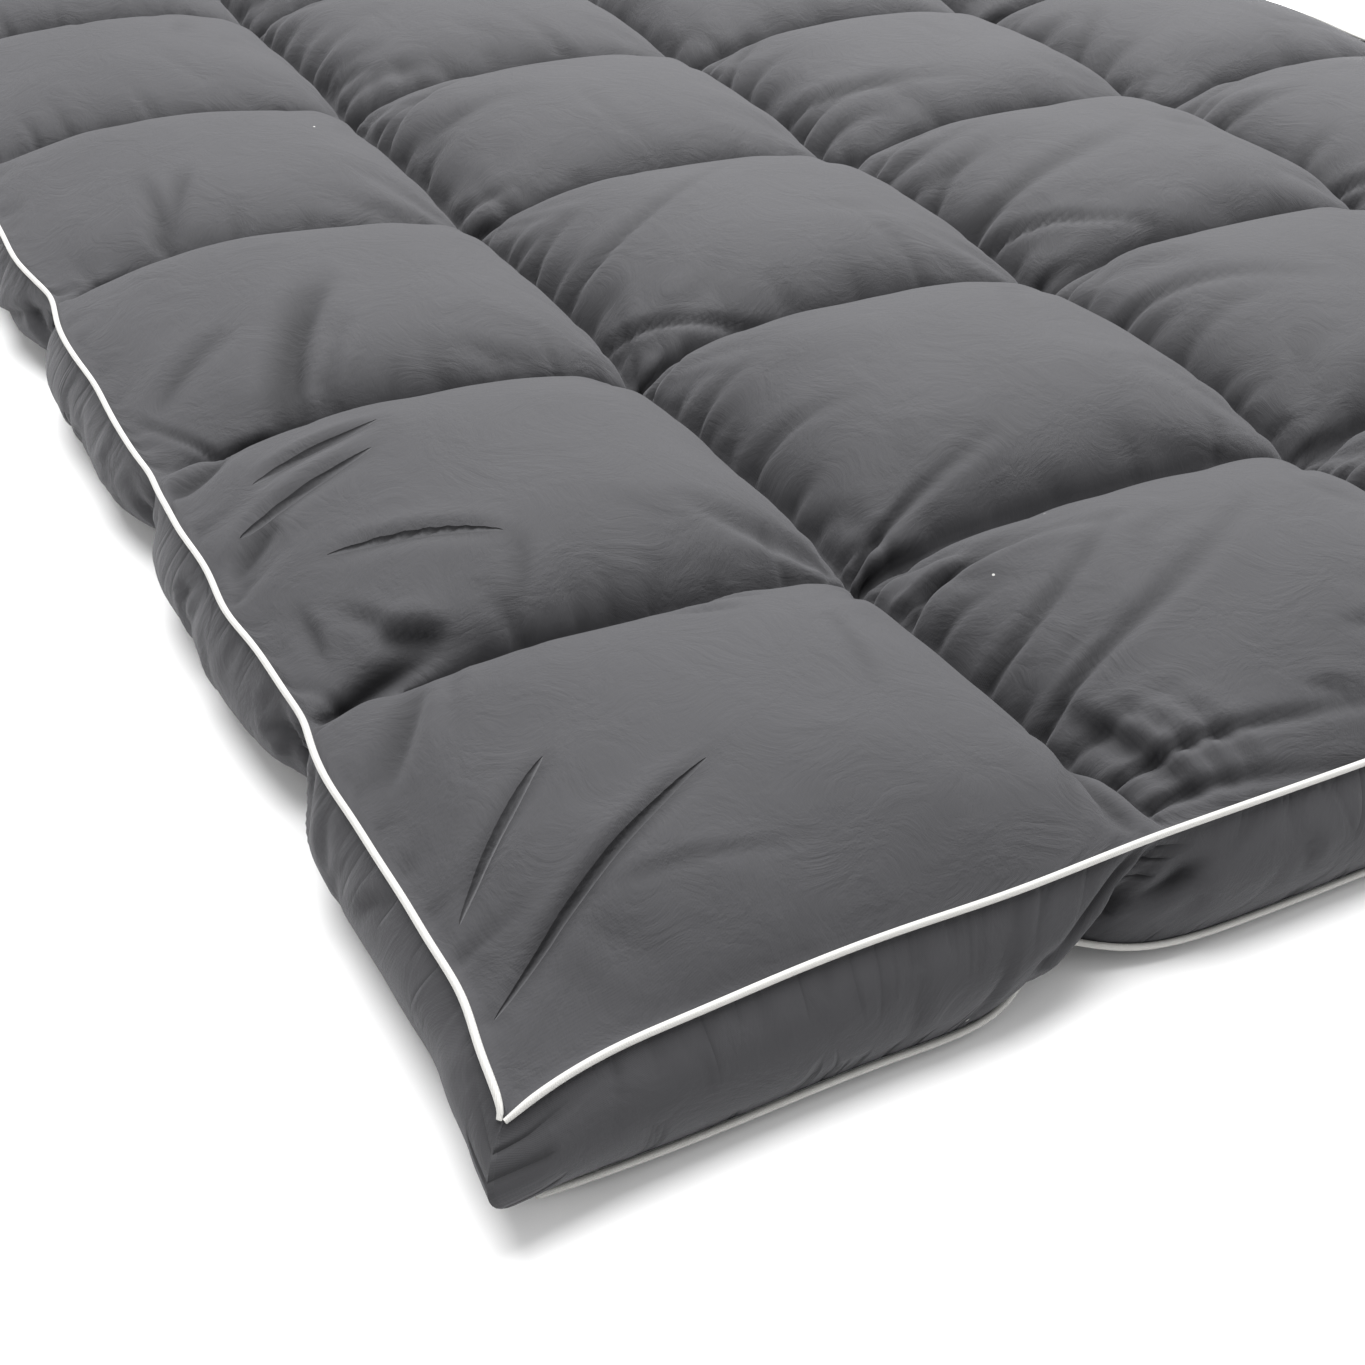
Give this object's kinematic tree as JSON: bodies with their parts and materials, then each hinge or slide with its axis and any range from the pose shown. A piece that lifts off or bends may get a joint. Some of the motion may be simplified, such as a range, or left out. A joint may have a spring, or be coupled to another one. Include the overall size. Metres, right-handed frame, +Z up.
{
  "type": "futon mattress",
  "caption": "Quilted baffle-box futon mattress in grey cloth, with pillow-like boxes on top, a boxed border and pale piping round its upper and lower edges.",
  "frame": {"origin": "on the floor, under the middle of the mattress", "axes": "+X across the width, +Y along the length, +Z up, out of the quilted sleeping surface"},
  "size_m": [1.4, 2, 0.1165],
  "materials": {
    "panel_cloth": "dark grey plain-weave microfibre, soft and faintly sheeny",
    "border_cloth": "the same dark grey plain-weave microfibre",
    "piping_tape": "off-white bias tape, close weave, slight sheen",
    "piping_cord": "undyed soft cotton cord",
    "baffle_cloth": "thin grey lining cloth, matt",
    "fibre_fill": "white hollow polyester fibre, matt and fluffy"
  },
  "bodies": {
    "root": {"top_panel": "panel_cloth", "bottom_panel": "panel_cloth", "front_border": "border_cloth", "right_border": "border_cloth", "back_border": "border_cloth", "left_border": "border_cloth", "top_piping_front": "piping_tape", "top_piping_cord_front": "piping_cord", "bottom_piping_front": "piping_tape", "bottom_piping_cord_front": "piping_cord", "top_piping_right": "piping_tape", "top_piping_cord_right": "piping_cord", "bottom_piping_right": "piping_tape", "bottom_piping_cord_right": "piping_cord", "top_piping_back": "piping_tape", "top_piping_cord_back": "piping_cord", "bottom_piping_back": "piping_tape", "bottom_piping_cord_back": "piping_cord", "top_piping_left": "piping_tape", "top_piping_cord_left": "piping_cord", "bottom_piping_left": "piping_tape", "bottom_piping_cord_left": "piping_cord", "long_baffle_1": "baffle_cloth", "long_baffle_2": "baffle_cloth", "long_baffle_3": "baffle_cloth", "cross_baffle_1": "baffle_cloth", "cross_baffle_2": "baffle_cloth", "cross_baffle_3": "baffle_cloth", "cross_baffle_4": "baffle_cloth", "cross_baffle_5": "baffle_cloth", "cross_baffle_6": "baffle_cloth", "fibre_pad_1_1": "fibre_fill", "fibre_pad_1_2": "fibre_fill", "fibre_pad_1_3": "fibre_fill", "fibre_pad_1_4": "fibre_fill", "fibre_pad_2_1": "fibre_fill", "fibre_pad_2_2": "fibre_fill", "fibre_pad_2_3": "fibre_fill", "fibre_pad_2_4": "fibre_fill", "fibre_pad_3_1": "fibre_fill", "fibre_pad_3_2": "fibre_fill", "fibre_pad_3_3": "fibre_fill", "fibre_pad_3_4": "fibre_fill", "fibre_pad_4_1": "fibre_fill", "fibre_pad_4_2": "fibre_fill", "fibre_pad_4_3": "fibre_fill", "fibre_pad_4_4": "fibre_fill", "fibre_pad_5_1": "fibre_fill", "fibre_pad_5_2": "fibre_fill", "fibre_pad_5_3": "fibre_fill", "fibre_pad_5_4": "fibre_fill", "fibre_pad_6_1": "fibre_fill", "fibre_pad_6_2": "fibre_fill", "fibre_pad_6_3": "fibre_fill", "fibre_pad_6_4": "fibre_fill", "fibre_pad_7_1": "fibre_fill", "fibre_pad_7_2": "fibre_fill", "fibre_pad_7_3": "fibre_fill", "fibre_pad_7_4": "fibre_fill"}
  },
  "joints": []
}
